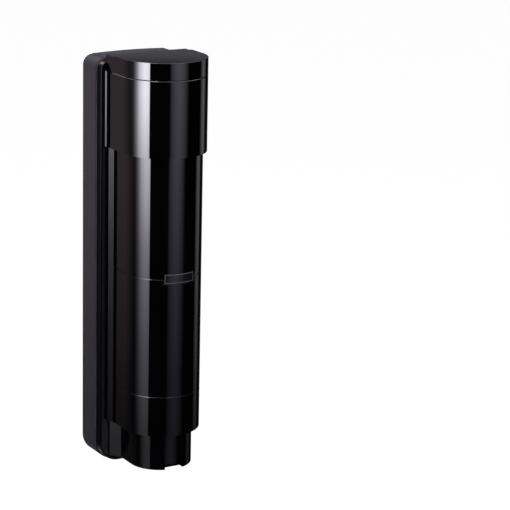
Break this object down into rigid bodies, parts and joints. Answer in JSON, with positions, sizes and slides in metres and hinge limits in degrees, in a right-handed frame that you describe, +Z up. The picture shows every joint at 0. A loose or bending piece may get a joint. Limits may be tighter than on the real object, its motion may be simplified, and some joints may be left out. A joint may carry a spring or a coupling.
{
  "type": "infrared beam detector",
  "caption": "Tall wall-mounted infrared beam detector: glossy round-fronted cover with hood and foot, over lens pairs that pan and tilt on a chassis and rear box.",
  "frame": {"origin": "middle of the wall face, at the centre of its four screw holes", "axes": "+Y points into the wall, -Y is the front that the beams enter by, +Z is up, +X is to the right seen from the front"},
  "size_m": [0.101, 0.12, 0.4285],
  "materials": {
    "box_satin": "satin, fine grain",
    "frame_gloss": "polished",
    "cover_gloss": "polished, passes infrared",
    "plate": "dark, thin pale outline",
    "chassis": "fine grain",
    "rubber": "matt",
    "steel": "zinc plated",
    "brass": "plain",
    "board": "lacquered board",
    "relay": "moulded",
    "scale": "printed ring",
    "lamp": "clear red",
    "connector": "moulded",
    "switch_red": "moulded",
    "dial_blue": "moulded",
    "knob": "moulded",
    "lens": "clear, polished",
    "mirror": "polished"
  },
  "bodies": {
    "base": {"back_box": "box_satin", "box_gasket": "rubber", "front_frame": "frame_gloss", "chassis": "chassis", "chassis_screws": "steel", "cover_gasket": "rubber", "wiring_grommet": "rubber", "relay_board": "board", "relays": "relay", "lower_bracket": "chassis", "upper_bracket": "chassis", "bracket_screws": "steel", "lower_pan_scale": "scale", "upper_pan_scale": "scale", "control_board": "board", "board_screws": "steel", "indicator_lights": "lamp", "test_jack": "connector", "mode_switch_block": "switch_red", "tamper_switch": "connector", "terminal_block": "connector", "terminal_screws": "steel", "response_dial_base": "dial_blue", "channel_dial_base": "dial_blue", "tamper_spring": "steel"},
    "cover": {"front_cover": "cover_gloss", "hood": "cover_gloss", "hood_cap": "cover_gloss", "hood_screws": "steel", "name_plate": "plate", "foot_shell": "cover_gloss", "foot_screws": "steel", "clamp_nut": "brass"},
    "cover_screw": {"cover_screw": "steel"},
    "tamper_plunger": {"tamper_plunger": "knob"},
    "response_knob": {"response_knob": "knob"},
    "channel_knob": {"channel_knob": "knob"},
    "mode_slider_1": {"mode_slider_1": "knob"},
    "mode_slider_2": {"mode_slider_2": "knob"},
    "mode_slider_3": {"mode_slider_3": "knob"},
    "lower_yoke": {"lower_yoke": "chassis"},
    "lower_holder": {"lower_lens_holder": "chassis", "lower_lenses": "lens", "lower_sight": "mirror", "lower_sensor_board": "board", "lower_tilt_pins": "steel"},
    "lower_screw": {"lower_tilt_screw": "knob"},
    "lower_nut": {"lower_tilt_nut": "brass"},
    "upper_yoke": {"upper_yoke": "chassis"},
    "upper_holder": {"upper_lens_holder": "chassis", "upper_lenses": "lens", "upper_sight": "mirror", "upper_sensor_board": "board", "upper_tilt_pins": "steel"},
    "upper_screw": {"upper_tilt_screw": "knob"},
    "upper_nut": {"upper_tilt_nut": "brass"}
  },
  "joints": [
    {"name": "cover_pull", "type": "slide", "parent": "base", "child": "cover", "axis": [0, -1, 0], "range_m": [0, 0.15]},
    {"name": "cover_screw_turn", "type": "hinge", "parent": "cover", "child": "cover_screw", "pos_m": [0, -0.09215, -0.2], "axis": [0, 0, 1], "range_deg": [0, 1080]},
    {"name": "tamper_press", "type": "slide", "parent": "base", "child": "tamper_plunger", "axis": [0, 1, 0], "range_m": [0, 0.0022], "stiffness_N_per_m": 200, "springref_m": -0.002, "deforming": ["tamper_spring"]},
    {"name": "response_turn", "type": "hinge", "parent": "base", "child": "response_knob", "pos_m": [-0.016, -0.0516, 0.16025], "axis": [0, -1, 0], "range_deg": [-135, 135]},
    {"name": "channel_turn", "type": "hinge", "parent": "base", "child": "channel_knob", "pos_m": [0.016, -0.0516, 0.16025], "axis": [0, -1, 0], "range_deg": [-135, 135]},
    {"name": "mode_slide_1", "type": "slide", "parent": "base", "child": "mode_slider_1", "axis": [1, 0, 0], "range_m": [0, 0.003]},
    {"name": "mode_slide_2", "type": "slide", "parent": "base", "child": "mode_slider_2", "axis": [1, 0, 0], "range_m": [0, 0.003]},
    {"name": "mode_slide_3", "type": "slide", "parent": "base", "child": "mode_slider_3", "axis": [1, 0, 0], "range_m": [0, 0.003]},
    {"name": "lower_pan", "type": "hinge", "parent": "base", "child": "lower_yoke", "pos_m": [0, -0.076, -0.05975], "axis": [0, 0, 1], "range_deg": [-90, 90]},
    {"name": "lower_tilt", "type": "hinge", "parent": "lower_yoke", "child": "lower_holder", "pos_m": [0, -0.076, -0.05975], "axis": [1, 0, 0], "range_deg": [-7, 7]},
    {"name": "lower_nut_travel", "type": "slide", "parent": "lower_yoke", "child": "lower_nut", "axis": [0, 1, 0], "range_m": [-0.0065, 0.0065]},
    {"name": "lower_tilt_screw_turn", "type": "hinge", "parent": "lower_yoke", "child": "lower_screw", "pos_m": [0, -0.076, -0.11105], "axis": [0, -1, 0], "range_deg": [-1400, 1400]},
    {"name": "upper_pan", "type": "hinge", "parent": "base", "child": "upper_yoke", "pos_m": [0, -0.076, 0.06275], "axis": [0, 0, 1], "range_deg": [-90, 90]},
    {"name": "upper_tilt", "type": "hinge", "parent": "upper_yoke", "child": "upper_holder", "pos_m": [0, -0.076, 0.06275], "axis": [1, 0, 0], "range_deg": [-7, 7]},
    {"name": "upper_nut_travel", "type": "slide", "parent": "upper_yoke", "child": "upper_nut", "axis": [0, 1, 0], "range_m": [-0.0065, 0.0065]},
    {"name": "upper_tilt_screw_turn", "type": "hinge", "parent": "upper_yoke", "child": "upper_screw", "pos_m": [0, -0.076, 0.01145], "axis": [0, -1, 0], "range_deg": [-1400, 1400]}
  ],
  "couplings": [
    {"joint": "lower_nut_travel", "follows": "lower_tilt", "m_per_rad": 0.0513},
    {"joint": "lower_tilt_screw_turn", "follows": "lower_tilt", "ratio": 161.16},
    {"joint": "upper_nut_travel", "follows": "upper_tilt", "m_per_rad": 0.0513},
    {"joint": "upper_tilt_screw_turn", "follows": "upper_tilt", "ratio": 161.16}
  ]
}
